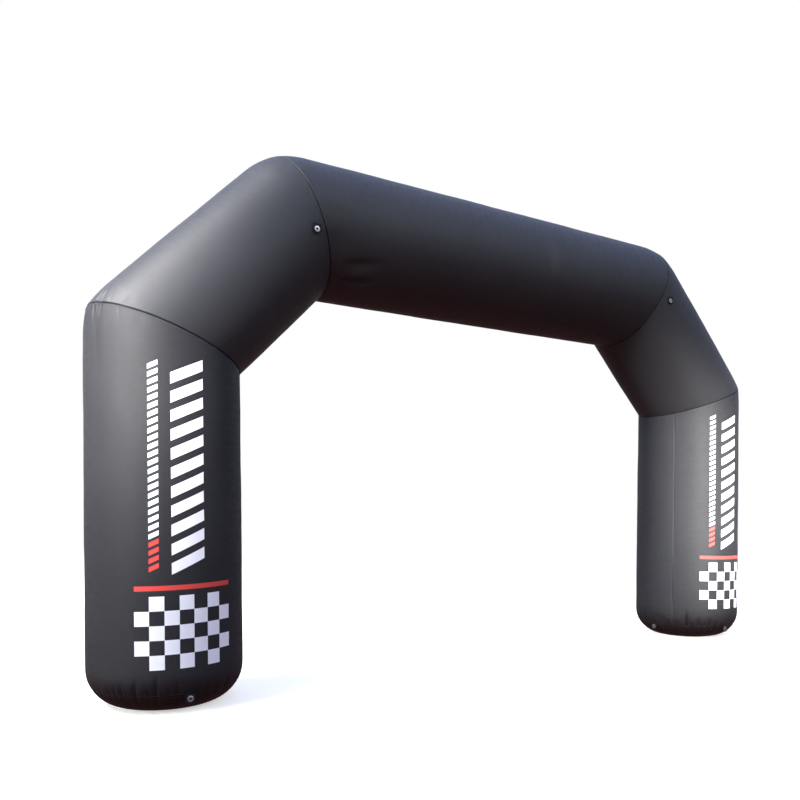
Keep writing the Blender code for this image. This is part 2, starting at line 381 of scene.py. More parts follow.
class Shader:
    """A Principled material and the nodes that feed it."""

    def __init__(self, name: str) -> None:
        """Makes the material."""
        self.material = bpy.data.materials.new(name)
        self.material.use_nodes = True
        self.tree = self.material.node_tree
        self.surface = self.tree.nodes["Principled BSDF"]

    def node(self, kind: str, **settings: object) -> bpy.types.Node:
        """Adds a node of a kind and sets its properties."""
        made = self.tree.nodes.new(kind)
        for key, value in settings.items():
            setattr(made, key, value)
        return made

    def feed(self, target: Socket, value: object) -> None:
        """Links a socket to another, or gives it a constant."""
        if isinstance(value, bpy.types.NodeSocket):
            self.tree.links.new(value, target)
        else:
            target.default_value = value

    def maths(self, operation: str, *values: object) -> Socket:
        """The result of a Math node on up to three values."""
        node = self.node("ShaderNodeMath", operation=operation)
        for target, value in zip(node.inputs, values):
            self.feed(target, value)
        return node.outputs[0]

    def mixed(self, share: object, first: object, second: object) -> Socket:
        """A colour between two, by a share from 0 to 1."""
        node = self.node("ShaderNodeMix", data_type="RGBA")
        self.feed(node.inputs[0], share)
        self.feed(node.inputs[6], first)
        self.feed(node.inputs[7], second)
        return node.outputs[2]

    def ranged(self, value: Socket, source: tuple[float, float], target: tuple[float, float]) -> Socket:
        """The value carried from one range to another, and held inside it."""
        node = self.node("ShaderNodeMapRange")
        self.feed(node.inputs[0], value)
        for place, number in enumerate((*source, *target), start=1):
            node.inputs[place].default_value = number
        return node.outputs[0]

    def stretched(self, place: Socket, scale: tuple[float, float, float]) -> Socket:
        """A place multiplied by a scale on each axis."""
        node = self.node("ShaderNodeVectorMath", operation="MULTIPLY")
        self.feed(node.inputs[0], place)
        node.inputs[1].default_value = scale
        return node.outputs[0]

    def noise(self, place: Socket, scale: float, detail: float = 2.0) -> Socket:
        """Soft noise from 0 to 1, with so many lumps in a metre."""
        node = self.node("ShaderNodeTexNoise")
        self.feed(node.inputs["Vector"], place)
        node.inputs["Scale"].default_value = scale
        node.inputs["Detail"].default_value = detail
        return node.outputs["Fac"]

    def object_place(self) -> Socket:
        """The place of a point in the arch's frame."""
        return self.node("ShaderNodeTexCoord").outputs["Object"]

    def cloth_place(self) -> tuple[Socket, Socket, Socket]:
        """The place of a point on the flat cloth: the vector, across the cloth, and along it."""
        place = self.node("ShaderNodeUVMap", uv_map="cloth").outputs[0]
        parts = self.node("ShaderNodeSeparateXYZ")
        self.feed(parts.inputs[0], place)
        return place, parts.outputs[0], parts.outputs[1]

    def seam_shade_share(self) -> Socket:
        """How far down in a mitred or bottom seam a point of the cloth lies, from 0 to 1; it sets the painted
        shade in the seams.
        """
        return self.node("ShaderNodeAttribute", attribute_name="seam").outputs["Fac"]

    def weave(self, across: Socket, along: Socket, pitch: float) -> Socket:
        """The height of a plain weave, from 0 to 1, whose threads lie a pitch apart."""
        columns = self.maths("DIVIDE", across, pitch)
        rows = self.maths("DIVIDE", along, pitch)
        parity = self.maths("ADD", self.maths("FLOOR", columns), self.maths("FLOOR", rows))
        over = self.maths("PINGPONG", parity, 1.0)
        warp = self.maths("SINE", self.maths("MULTIPLY", self.maths("FRACT", columns), math.pi))
        weft = self.maths("SINE", self.maths("MULTIPLY", self.maths("FRACT", rows), math.pi))
        shown = self.maths("MULTIPLY", over, warp)
        rest = self.maths("MULTIPLY", self.maths("SUBTRACT", 1.0, over), weft)
        return self.maths("ADD", shown, rest)

    def relief(self, layers: list[tuple[Socket, float]]) -> None:
        """Raises the surface by several heights, each a socket from 0 to 1 and its size in metres."""
        total = None
        for height, size in layers:
            scaled = self.maths("MULTIPLY", height, size / MILLIMETRE)
            total = scaled if total is None else self.maths("ADD", total, scaled)
        bump = self.node("ShaderNodeBump")
        bump.inputs["Strength"].default_value = 1.0
        bump.inputs["Distance"].default_value = MILLIMETRE
        self.feed(bump.inputs["Height"], total)
        self.feed(self.surface.inputs["Normal"], bump.outputs[0])


@dataclass(frozen=True)
class CoatedCloth:
    """Black polyester cloth with a satin coating, woven, a little dusty and scuffed, with painted shade down
    in its seams.
    """

    name: str
    dark: Colour = (0.0150, 0.0152, 0.0175, 1.0)
    pale: Colour = (0.0240, 0.0240, 0.0260, 1.0)
    roughness: tuple[float, float] = (0.50, 0.60)
    gloss: float = 0.34
    # Painted shade in the seam grooves: near-black there, with the gloss cut so the groove walls catch no
    # light.
    seam_shade_colour: Colour = (0.0030, 0.0028, 0.0032, 1.0)
    seam_gloss: float = 0.03
    weave_pitch: float = 0.0020
    weave_height: float = 0.00006
    soft_height: float = 0.00020
    slub_height: float = 0.00001
    blotches_per_m: float = 1.7
    scuffs_per_m: float = 4.0
    worn_per_m: float = 11.0
    soft_per_m: float = 16.0
    slubs_per_m: float = 34.0

    def shader(self) -> Shader:
        """The finish's shader."""
        made = Shader(self.name)
        place = made.object_place()
        flat, across, along = made.cloth_place()
        blotches = made.noise(place, self.blotches_per_m, 4.0)
        scuffs = made.noise(made.stretched(flat, (9.0, 2.2, 1.0)), self.scuffs_per_m, 6.0)
        dust = made.maths("MULTIPLY", made.ranged(blotches, (0.40, 0.72), (0.0, 0.6)), scuffs)
        colour = made.mixed(dust, self.dark, self.pale)
        # Painted shade: the colour goes near-black and the gloss drops down in the seams' grooves.
        seam = made.seam_shade_share()
        shown = made.mixed(seam, self.coloured(made, colour, across, along), self.seam_shade_colour)
        made.feed(made.surface.inputs["Base Color"], shown)
        worn = made.noise(made.stretched(flat, (1.0, 3.0, 1.0)), self.worn_per_m, 3.0)
        made.feed(made.surface.inputs["Roughness"], made.ranged(worn, (0.3, 0.7), self.roughness))
        gloss = made.ranged(seam, (0.0, 1.0), (self.gloss, self.seam_gloss))
        made.feed(made.surface.inputs["Specular IOR Level"], gloss)
        soft = made.noise(made.stretched(flat, (1.0, 1.9, 1.0)), self.soft_per_m, 2.0)
        slubs = made.noise(made.stretched(flat, (30.0, 1.0, 1.0)), self.slubs_per_m, 1.0)
        made.relief(
            [
                (made.weave(across, along, self.weave_pitch), self.weave_height),
                (soft, self.soft_height),
                (slubs, self.slub_height),
            ]
        )
        return made

    def coloured(self, made: Shader, ground: Socket, across: Socket, along: Socket) -> Socket:
        """The colour of the cloth with nothing printed on it."""
        return ground

    def material(self) -> bpy.types.Material:
        """The finish as a material."""
        return self.shader().material


@dataclass(frozen=True)
class StainedCloth(CoatedCloth):
    """The beam's cloth, with a faint pale stain on its front."""

    middle: tuple[float, float, float] = (0.387, -0.49, 3.375)
    spread: tuple[float, float, float] = (14.0, 4.0, 6.0)
    stain: Colour = (0.034, 0.033, 0.033, 1.0)
    strength: float = 0.75
    fade: tuple[float, float] = (0.30, 1.45)
    raggedness: float = 0.7
    ragged_per_m: float = 18.0

    def coloured(self, made: Shader, ground: Socket, across: Socket, along: Socket) -> Socket:
        """The colour of the cloth with its stain."""
        place = made.node("ShaderNodeVectorMath", operation="SUBTRACT")
        made.feed(place.inputs[0], made.object_place())
        place.inputs[1].default_value = self.middle
        length = made.node("ShaderNodeVectorMath", operation="LENGTH")
        made.feed(length.inputs[0], made.stretched(place.outputs[0], self.spread))
        lumps = made.noise(made.object_place(), self.ragged_per_m, 3.0)
        ragged = made.maths("MULTIPLY", lumps, self.raggedness)
        away = made.maths("ADD", length.outputs["Value"], ragged)
        share = made.ranged(away, self.fade, (self.strength, 0.0))
        return made.mixed(share, ground, self.stain)


@dataclass(frozen=True)
class Ladder:
    """A ladder of slanted bars: its edges, where the lowest starts, their pitch and their number."""

    left: float
    right: float
    low: float
    pitch: float
    count: int


@dataclass(frozen=True)
class PrintedCloth(CoatedCloth):
    """The columns' cloth, printed on its front with chequers, slanted bars and small slanted dashes, with
    painted shade at its foot.
    """

    white: Colour = (0.78, 0.79, 0.82, 1.0)
    red: Colour = (0.60, 0.060, 0.048, 1.0)
    square: float = 0.090
    chequer_left: float = -0.315
    chequer_right: float = 0.315
    chequer_low: float = 0.30
    chequer_high: float = 0.75
    rule_low: float = 0.785
    rule_high: float = 0.815
    slope: float = 0.45
    bar_share: float = 0.6
    large: Ladder = Ladder(left=-0.090, right=0.115, low=0.88, pitch=0.118, count=11)
    small: Ladder = Ladder(left=-0.225, right=-0.165, low=1.10, pitch=0.050, count=22)
    small_red: Ladder = Ladder(left=-0.225, right=-0.165, low=0.90, pitch=0.050, count=4)
    # Painted shade near the ground: below a height the cloth is drawn darker and redder towards its foot.
    painted_foot_shade: Colour = (0.0062, 0.0036, 0.0041, 1.0)
    painted_foot_shade_from: float = 0.13
    painted_foot_shade_to: float = 0.30
    painted_foot_shade_share: float = 0.85

    def inside(self, made: Shader, value: Socket, low: float, high: float) -> Socket:
        """1 where the value lies between two others, and 0 elsewhere."""
        above = made.maths("GREATER_THAN", value, low)
        below = made.maths("LESS_THAN", value, high)
        return made.maths("MULTIPLY", above, below)

    def chequers(self, made: Shader, across: Socket, along: Socket) -> Socket:
        """The chequered block low on the column."""
        from_left = made.maths("SUBTRACT", across, self.chequer_left)
        from_low = made.maths("SUBTRACT", along, self.chequer_low)
        column = made.maths("FLOOR", made.maths("DIVIDE", from_left, self.square))
        row = made.maths("FLOOR", made.maths("DIVIDE", from_low, self.square))
        odd = made.maths("PINGPONG", made.maths("ADD", column, row), 1.0)
        wide = self.inside(made, across, self.chequer_left, self.chequer_right)
        high = self.inside(made, along, self.chequer_low, self.chequer_high)
        block = made.maths("MULTIPLY", wide, high)
        return made.maths("MULTIPLY", block, made.maths("GREATER_THAN", odd, 0.5))

    def bars(self, made: Shader, across: Socket, along: Socket, ladder: Ladder) -> Socket:
        """The bars of a ladder.

        Args:
            made: The shader that they are drawn in.
            across: Place across the cloth.
            along: Place along the cloth.
            ladder: Where the bars lie.

        Returns:
            1 on the bars and 0 elsewhere.
        """
        lift = made.maths("MULTIPLY", made.maths("SUBTRACT", across, ladder.left), self.slope)
        risen = made.maths("SUBTRACT", made.maths("SUBTRACT", along, ladder.low), lift)
        step = made.maths("FRACT", made.maths("DIVIDE", risen, ladder.pitch))
        on = made.maths("LESS_THAN", step, self.bar_share)
        bars = made.maths("MULTIPLY", on, self.inside(made, risen, 0.0, ladder.pitch * ladder.count))
        return made.maths("MULTIPLY", bars, self.inside(made, across, ladder.left, ladder.right))

    def coloured(self, made: Shader, ground: Socket, across: Socket, along: Socket) -> Socket:
        """The colour of the cloth with its print, and painted shade that darkens its foot near the ground."""
        # Painted shade, darkest at the foot.
        foot = made.ranged(along, (self.painted_foot_shade_from, self.painted_foot_shade_to), (self.painted_foot_shade_share, 0.0))
        ground = made.mixed(foot, ground, self.painted_foot_shade)
        large = self.bars(made, across, along, self.large)
        small = self.bars(made, across, along, self.small)
        small_red = self.bars(made, across, along, self.small_red)
        wide = self.inside(made, across, self.chequer_left, self.chequer_right)
        rule = made.maths("MULTIPLY", wide, self.inside(made, along, self.rule_low, self.rule_high))
        white = made.maths("MAXIMUM", self.chequers(made, across, along), made.maths("MAXIMUM", large, small))
        red = made.maths("MAXIMUM", rule, small_red)
        return made.mixed(red, made.mixed(white, ground, self.white), self.red)


@dataclass(frozen=True)
class ThreadFinish:
    """Black polyester sewing thread."""

    name: str = "black_thread"
    dark: Colour = (0.014, 0.014, 0.016, 1.0)
    pale: Colour = (0.03, 0.03, 0.033, 1.0)
    roughness: float = 0.55
    twist_height: float = 0.0002

    def material(self) -> bpy.types.Material:
        """The finish as a material."""
        made = Shader(self.name)
        twist = made.noise(made.object_place(), 900.0, 1.0)
        made.feed(made.surface.inputs["Base Color"], made.mixed(twist, self.dark, self.pale))
        made.surface.inputs["Roughness"].default_value = self.roughness
        made.relief([(twist, self.twist_height)])
        return made.material


@dataclass(frozen=True)
class WovenTape:
    """Close-woven black tape of the anchor tabs."""

    name: str = "black_woven_tape"
    dark: Colour = (0.0065, 0.0062, 0.0067, 1.0)
    pale: Colour = (0.0120, 0.0115, 0.0120, 1.0)
    rib: float = 0.0022
    rib_height: float = 0.00025
    fluff_height: float = 0.00010
    roughness: tuple[float, float] = (0.60, 0.78)
    gloss: float = 0.12

    def material(self) -> bpy.types.Material:
        """The finish as a material."""
        made = Shader(self.name)
        flat, across, along = made.cloth_place()
        weave = made.weave(across, along, self.rib)
        fluff = made.noise(flat, 240.0, 3.0)
        made.feed(made.surface.inputs["Base Color"], made.mixed(fluff, self.dark, self.pale))
        made.feed(made.surface.inputs["Roughness"], made.ranged(fluff, (0.3, 0.7), self.roughness))
        made.surface.inputs["Specular IOR Level"].default_value = self.gloss
        made.relief([(weave, self.rib_height), (fluff, self.fluff_height)])
        return made.material


@dataclass(frozen=True)
class PlatedSteel:
    """Nickel-plated steel of the eyelets, finely scratched."""

    name: str = "plated_steel"
    bright: Colour = (0.56, 0.55, 0.54, 1.0)
    dull: Colour = (0.33, 0.33, 0.33, 1.0)
    roughness: tuple[float, float] = (0.22, 0.40)
    scratch_height: float = 0.00002

    def material(self) -> bpy.types.Material:
        """The finish as a material."""
        made = Shader(self.name)
        place = made.object_place()
        tarnish = made.noise(place, 160.0, 4.0)
        scratches = made.noise(made.stretched(place, (1.0, 1.0, 9.0)), 700.0, 2.0)
        made.feed(made.surface.inputs["Base Color"], made.mixed(tarnish, self.bright, self.dull))
        made.surface.inputs["Metallic"].default_value = 1.0
        made.feed(made.surface.inputs["Roughness"], made.ranged(tarnish, (0.3, 0.7), self.roughness))
        made.relief([(scratches, self.scratch_height)])
        return made.material


@dataclass
class AirTube:
    """One straight length of airtight tube, cut from a sheet of cloth that is joined lengthwise."""

    name: str
    node: str
    side: Side
    start: Array
    end: Array
    first: TubeEnd
    last: TubeEnd
    swell: float
    join_deg: float
    has_foot: bool
    sizes: ArchSizes
    seam: SewnSeam
    around: int = 480
    spacing: float = 0.030
    first_step: float = 0.0008
    growth: float = 1.16
    near_loops: int = 26
    join_loops: int = 12
    stitch_offset: float = 0.0115
    calm_from: float = 0.02
    calm_to: float = 0.30
    ring_points: int = 721
    join_points: int = 401

    def __post_init__(self) -> None:
        """Works out the tube's directions."""
        self.along = unit(self.end - self.start)
        turned = -1.0 if self.side is Side.RIGHT else 1.0
        self.outer = np.cross(FRONT, self.along) * turned

    def near(self) -> Array:
        """Distances of the loops beside a seam, growing away from it."""
        steps = np.arange(self.near_loops + 1)
        return self.first_step * (self.growth**steps - 1.0) / (self.growth - 1.0)

    def radial(self, azimuth: Array) -> Array:
        """The direction out of the tube at each azimuth."""
        return np.cos(azimuth)[..., None] * self.outer + np.sin(azimuth)[..., None] * FRONT

    def drawn(self, end: TubeEnd, azimuth: Array, distance: Array) -> Array:
        """How far a mitred seam holds in the outer side of its bend."""
        outward = np.clip(np.cos(azimuth), 0.0, 1.0)
        share = np.clip(1.0 - distance / self.sizes.seam_reach, 0.0, 1.0)
        return end.draw * outward**2 * share**2

    def reach(self, end: TubeEnd, azimuth: Array) -> Array:
        """How far along the axis each line of the wall meets an end's plane."""
        radius = self.sizes.tube_radius - self.drawn(end, azimuth, 0.0) - self.seam.depth
        if self.has_foot and end is self.first:
            radius = self.sizes.foot_radius(self.sizes.base_seam_height) - self.seam.depth + 0.0 * azimuth
        edge = self.radial(azimuth) * radius[..., None]
        return (end.point - self.start - edge) @ end.normal / (self.along @ end.normal)

    def radius(self, azimuth: Array, at: Array) -> Array:
        """The wall's distance from the axis.

        Args:
            azimuth: Azimuths of the points, in radians.
            at: Their distances along the axis from its start.

        Returns:
            The radius at each point.
        """
        sizes = self.sizes
        low, high = self.reach(self.first, azimuth), self.reach(self.last, azimuth)
        from_first, from_last = at - low, high - at
        share = from_first / (high - low)
        found = sizes.tube_radius + self.swell * 4.0 * share * (1.0 - share)
        found -= self.drawn(self.first, azimuth, from_first) + self.drawn(self.last, azimuth, from_last)
        if self.has_foot:
            found += sizes.foot_radius(sizes.base_seam_height + from_first) - sizes.tube_radius
        to_join = np.abs(wrapped(azimuth - math.radians(self.join_deg))) * sizes.tube_radius
        nearest = np.minimum(np.minimum(from_first, from_last), to_join)
        found += self.seam.lip(nearest) - self.seam.groove(nearest)
        for end, distance in ((self.first, from_first), (self.last, from_last)):
            for crease in end.creases:
                found -= crease.hollow(azimuth, distance, sizes.tube_radius)
        calm = smooth_step(from_first, self.calm_from, self.calm_to)
        calm = calm * smooth_step(from_last, self.calm_from, self.calm_to)
        for ripple in RIPPLES:
            turn = math.tau * at / ripple.length + ripple.waves * azimuth + ripple.phase
            found += calm * ripple.height * np.sin(turn)
        return found

    def place(self, azimuth: Array, at: Array) -> Array:
        """Where points of the wall lie, from their azimuths and distances along the axis."""
        radius = self.radius(azimuth, at)
        return self.start + at[..., None] * self.along + radius[..., None] * self.radial(azimuth)

    def offsets(self) -> Array:
        """Distances round the cloth of the lines of points, from the lengthwise join and back to it."""
        girth = math.tau * self.sizes.tube_radius
        close = self.near()[: self.join_loops]
        middle = np.linspace(close[-1], girth - close[-1], self.around + 1)[1:-1]
        return np.concatenate((close, middle, girth - close[::-1]))

    def build(self, material: bpy.types.Material) -> bpy.types.Object:
        """Makes the tube as one closed mesh.

        Args:
            material: The cloth's finish.

        Returns:
            The tube's object, which stands for its solid.
        """
        offsets = self.offsets()
        azimuth = math.radians(self.join_deg) + offsets[:-1] / self.sizes.tube_radius
        low, high = self.reach(self.first, azimuth), self.reach(self.last, azimuth)
        near = self.near()
        steps = int(np.linalg.norm(self.end - self.start) / self.spacing)
        shares = np.linspace(0.0, 1.0, steps)[1:-1]
        middle = (low + near[-1]) + shares[:, None] * (high - low - 2.0 * near[-1])
        at = np.concatenate((low + near[:, None], middle, high - near[::-1][:, None]))
        columns, rows = len(azimuth), len(at)
        points = self.place(np.broadcast_to(azimuth, at.shape), at).reshape(-1, 3)
        across = np.arange(columns)
        after = (across + 1) % columns
        faces, places = [], []
        turned = -1.0 if self.side is Side.RIGHT else 1.0
        from_front = math.radians(self.join_deg - 90.0) * self.sizes.tube_radius
        reading = (offsets - offsets[-1] + from_front) * turned
        for row in range(rows - 1):
            here, above = row * columns, (row + 1) * columns
            ring = np.stack((here + across, here + after, above + after, above + across), axis=1)
            flat = np.stack(
                (
                    np.stack((reading[:-1], at[row]), axis=1),
                    np.stack((reading[1:], at[row, after]), axis=1),
                    np.stack((reading[1:], at[row + 1, after]), axis=1),
                    np.stack((reading[:-1], at[row + 1]), axis=1),
                ),
                axis=1,
            )
            faces.append(ring)
            places.append(flat)
        faces, places = np.concatenate(faces), np.concatenate(places)
        caps = [list(range(columns))[::-1], list(range((rows - 1) * columns, rows * columns))]
        if self.side is Side.RIGHT:
            faces, places = faces[:, ::-1], places[:, ::-1]
            caps = [cap[::-1] for cap in caps]
        piece = mesh_object(self.name, points, faces.tolist() + caps, material)
        places = np.concatenate((places.reshape(-1, 2), np.zeros((2 * columns, 2))))
        lay_cloth_map(piece.data, places)
        self.mark_seam_shade(piece.data, np.minimum(at - low, high - at))
        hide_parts(self.node)
        return piece

    def mark_seam_shade(self, mesh: bpy.types.Mesh, distance: Array) -> None:
        """Stores how far down in an end seam each point lies, from 0 to 1, for the painted shade in the
        seams.

        Args:
            mesh: The tube's mesh.
            distance: How far each point is from the nearer end, in the order of the points.
        """
        layer = mesh.attributes.new("seam", "FLOAT", "POINT")
        depth = self.seam.groove(distance) / self.seam.depth
        layer.data.foreach_set("value", depth.reshape(-1).astype(np.float32))

    def ring_line(self, end: TubeEnd) -> tuple[Array, Array]:
        """A line round the tube beside an end, for its row of stitches, and its outward directions."""
        azimuth = np.linspace(0.0, math.tau, self.ring_points)
        at = self.reach(end, azimuth)
        at = at + self.stitch_offset if end is self.first else at - self.stitch_offset
        return self.place(azimuth, at), self.radial(azimuth)

    def join_line(self, offset: float) -> tuple[Array, Array]:
        """A line beside the lengthwise join, and its outward directions."""
        azimuth = math.radians(self.join_deg) + offset / self.sizes.tube_radius
        ends = self.reach(self.first, np.array([azimuth])), self.reach(self.last, np.array([azimuth]))
        low, high = ends[0][0] + self.stitch_offset, ends[1][0] - self.stitch_offset
        at = np.linspace(low, high, self.join_points)
        around = np.full(at.shape, azimuth)
        return self.place(around, at), self.radial(around)

    def sew(self, stitching: Stitching, material: bpy.types.Material) -> bpy.types.Object:
        """Makes the rows of stitches beside the tube's seams, as one piece.

        Args:
            stitching: The stitches' sizes.
            material: The thread's finish.

        Returns:
            The stitches' object.
        """
        rows = [stitching.along(*self.ring_line(end)) for end in (self.first, self.last)]
        for offset in (-self.stitch_offset, self.stitch_offset):
            rows.append(stitching.along(*self.join_line(offset)))
        points, faces = join_rows(rows)
        return mesh_object(f"{self.name}_stitches", points, faces, material)


@dataclass
class BottomPanel:
    """The round panel sewn in below a column: its corner, and the flat that stands on the ground."""

    name: str
    node: str
    side: Side
    creases: tuple[Crease, ...]
    sizes: ArchSizes
    seam: SewnSeam
    around: int = 480
    corner_loops: int = 26
    flat_loops: int = 7
    corner_growth: float = 1.6
    crease_share: float = 0.45
    calm_height: float = 0.02

    def rings(self) -> tuple[Array, Array, Array]:
        """The panel's rings: how far down the corner from the seam, and the radius and height of each."""
        sizes = self.sizes
        edge = sizes.base_seam_height - sizes.seam_gap / 2
        steepest = math.acos(1.0 - edge / sizes.corner_radius)
        gone = steepest * np.linspace(0.0, 1.0, self.corner_loops) ** self.corner_growth
        turn = steepest - gone
        radius = sizes.contact_radius + sizes.corner_radius * np.sin(turn)
        height = sizes.corner_radius * (1.0 - np.cos(turn))
        return gone * sizes.corner_radius, radius, height

    def build(self, material: bpy.types.Material) -> bpy.types.Object:
        """Makes the panel as one closed mesh.

        Args:
            material: The cloth's finish.

        Returns:
            The panel's object, which stands for its solid.
        """
        sizes = self.sizes
        azimuth = np.arange(self.around) * math.tau / self.around
        sign = float(self.side.value)
        outer = np.array((sign, 0.0, 0.0))
        radial = np.cos(azimuth)[:, None] * outer + np.sin(azimuth)[:, None] * FRONT
        centre = np.array((sign * sizes.axis_half_span(sizes.base_seam_height), 0.0, 0.0))
        gone, radius, height = self.rings()
        loops = []
        for distance, ring_radius, ring_height in zip(gone, radius, height):
            inward = self.seam.groove(distance) - self.seam.lip(distance) + 0.0 * azimuth
            for crease in self.creases:
                hollow = crease.hollow(azimuth, np.full_like(azimuth, distance), sizes.tube_radius)
                inward = inward + self.crease_share * hollow
            inward = inward * min(1.0, ring_height / self.calm_height)
            loops.append(centre + radial * (ring_radius - inward)[:, None] + UP * ring_height)
        for share in np.linspace(1.0, 0.0, self.flat_loops + 1)[1:-1]:
            loops.append(centre + radial * sizes.contact_radius * share)
        columns = self.around
        points = np.concatenate(loops)
        across = np.arange(columns)
        after = (across + 1) % columns
        faces = []
        for row in range(len(loops) - 1):
            here, below = row * columns, (row + 1) * columns
            faces.append(np.stack((here + across, below + across, below + after, here + after), axis=1))
        faces = np.concatenate(faces)
        caps = [list(range(columns)), list(range((len(loops) - 1) * columns, len(loops) * columns))[::-1]]
        if self.side is Side.RIGHT:
            faces = faces[:, ::-1]
            caps = [cap[::-1] for cap in caps]
        faces = faces.tolist() + caps
        piece = mesh_object(self.name, points, faces, material)
        corners = np.array([number for face in faces for number in face])
        lay_cloth_map(piece.data, points[corners][:, :2])
        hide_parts(self.node)
        return piece


@dataclass
class Anchor:
    """A tab of woven tape sewn to a tube by its upper edge, with an eyelet clenched in it.

    The rings are shares of the way from the hole to the edge. The seat is the gap that the tab's root
    keeps to the cloth.
    """

    name: str
    place: Array
    facing: Array
    wall: BVHTree
    width: float = 0.066
    height: float = 0.070
    thickness: float = 0.003
    corner: float = 0.024
    top: float = 0.040
    hole: float = 0.0103
    hem: float = 0.0055
    root_low: float = 0.0215
    root_high: float = 0.0300
    spokes: int = 72
    rings: tuple[float, ...] = (0.0, 0.10, 0.25, 0.42, 0.58, 0.72, 0.84, 0.93, 1.0)
    seat: float = 0.0003
    edge_round: float = 0.0009
    edge_deg: float = 50.0
    box_margin: float = 0.0030
    hem_drop: float = 0.004
    hem_points: int = 60
    line_step: float = 0.002
    eyelet_sides: int = 56
    search_from: float = 0.05
    search_reach: float = 0.2

    def __post_init__(self) -> None:
        """Works out the tab's direction across."""
        self.across = np.cross(UP, self.facing)

    def lift(self, x: float, y: float) -> float:
        """How far the tab's middle layer stands out from the eyelet's plane, flat but for its root.

        Args:
            x: Place across the tab from its eyelet.
            y: Place up the tab from its eyelet.

        Returns:
            The distance along the facing, such that the root lies on the tube's wall.
        """
        pressed = float(smooth_step(np.array(y), self.root_low, self.root_high))
        if pressed == 0.0:
            return 0.0
        origin = self.place + self.across * x + UP * y + self.facing * self.search_from
        hit = self.wall.ray_cast(Vector(origin), Vector(-self.facing), self.search_reach)[0]
        if hit is None:
            return 0.0
        on_wall = float((np.array(hit) - self.place) @ self.facing) + self.thickness / 2 + self.seat
        return pressed * on_wall

    def outline(self, turn: float, inset: float = 0.0) -> float:
        """How far the tab's edge is from its eyelet in a direction.

        Args:
            turn: The direction, in radians from across.
            inset: How far inside the edge to stay.

        Returns:
            The distance.
        """
        ahead = np.array((math.cos(turn), math.sin(turn)))
        half, top, bottom = self.width / 2 - inset, self.top - inset, self.top - self.height + inset
        limits = [half / abs(ahead[0])] if abs(ahead[0]) > 1e-9 else []
        if ahead[1] > 1e-9:
            limits.append(top / ahead[1])
        if ahead[1] < -1e-9:
            limits.append(bottom / ahead[1])
        distance = min(limits)
        curve = self.corner - inset
        middle = np.array((math.copysign(half - curve, ahead[0]), bottom + curve))
        point = ahead * distance
        if abs(point[0]) > half - curve and point[1] < bottom + curve:
            closest = ahead @ middle
            distance = closest + math.sqrt(max(closest**2 - middle @ middle + curve**2, 0.0))
        return distance

    def point(self, x: float, y: float, above: float) -> Array:
        """A point of the tab, so far above its middle layer."""
        return self.place + self.across * x + UP * y + self.facing * (self.lift(x, y) + above)

    def build_tab(self, material: bpy.types.Material) -> bpy.types.Object:
        """Makes the tab as a sheet with rounded edges.

        Args:
            material: The tape's finish.

        Returns:
            The tab's object, which stands for its solid.
        """
        corner_turn = math.atan2(self.top, self.width / 2)
        turns = [math.tau * step / self.spokes for step in range(self.spokes)]
        turns = sorted(turns + [corner_turn, math.pi - corner_turn])
        points, flat = [], []
        for share in self.rings:
            for turn in turns:
                distance = self.hole + (self.outline(turn) - self.hole) * share
                x, y = distance * math.cos(turn), distance * math.sin(turn)
                points.append(self.point(x, y, 0.0))
                flat.append((x, y))
        columns = len(turns)
        faces = []
        for row in range(len(self.rings) - 1):
            for column in range(columns):
                after = (column + 1) % columns
                here, outside = row * columns, (row + 1) * columns
                faces.append([here + column, outside + column, outside + after, here + after])
        piece = mesh_object(f"{self.name}_tab", np.array(points), faces, material)
        corners = np.array([number for face in faces for number in face])
        lay_cloth_map(piece.data, np.array(flat)[corners])
        solid = piece.modifiers.new("thickness", "SOLIDIFY")
        solid.thickness = self.thickness
        solid.offset = 0.0
        edge = piece.modifiers.new("edge", "BEVEL")
        edge.width = self.edge_round
        edge.segments = 2
        edge.limit_method = "ANGLE"
        edge.angle_limit = math.radians(self.edge_deg)
        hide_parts(f"tab_{self.name}")
        return piece

    def sew(self, stitching: Stitching, material: bpy.types.Material) -> bpy.types.Object:
        """Makes the box of stitches that holds the root, and the row round the hem.

        Args:
            stitching: The stitches' sizes.
            material: The thread's finish.

        Returns:
            The stitches' object.
        """
        above = self.thickness / 2
        half = self.width / 2 - self.hem
        low, high = self.root_high, self.top - self.box_margin
        box = [(-half, low), (half, low), (half, high), (-half, high), (-half, low)]
        hem = []
        start = math.atan2(low - self.hem_drop, -half)
        stop = math.atan2(low - self.hem_drop, half) + math.tau
        for turn in np.linspace(start, stop, self.hem_points):
            distance = self.outline(turn, self.hem)
            hem.append((distance * math.cos(turn), distance * math.sin(turn)))
        rows = []
        for corners in (box, hem):
            line = []
            for (x0, y0), (x1, y1) in zip(corners, corners[1:]):
                steps = max(2, int(math.hypot(x1 - x0, y1 - y0) / self.line_step))
                for step in range(steps):
                    share = step / steps
                    line.append(self.point(x0 + (x1 - x0) * share, y0 + (y1 - y0) * share, above))
            line.append(self.point(*corners[-1], above))
            line = np.array(line)
            rows.append(stitching.along(line, np.broadcast_to(self.facing, line.shape)))
        points, faces = join_rows(rows)
        return mesh_object(f"{self.name}_tab_stitches", points, faces, material)

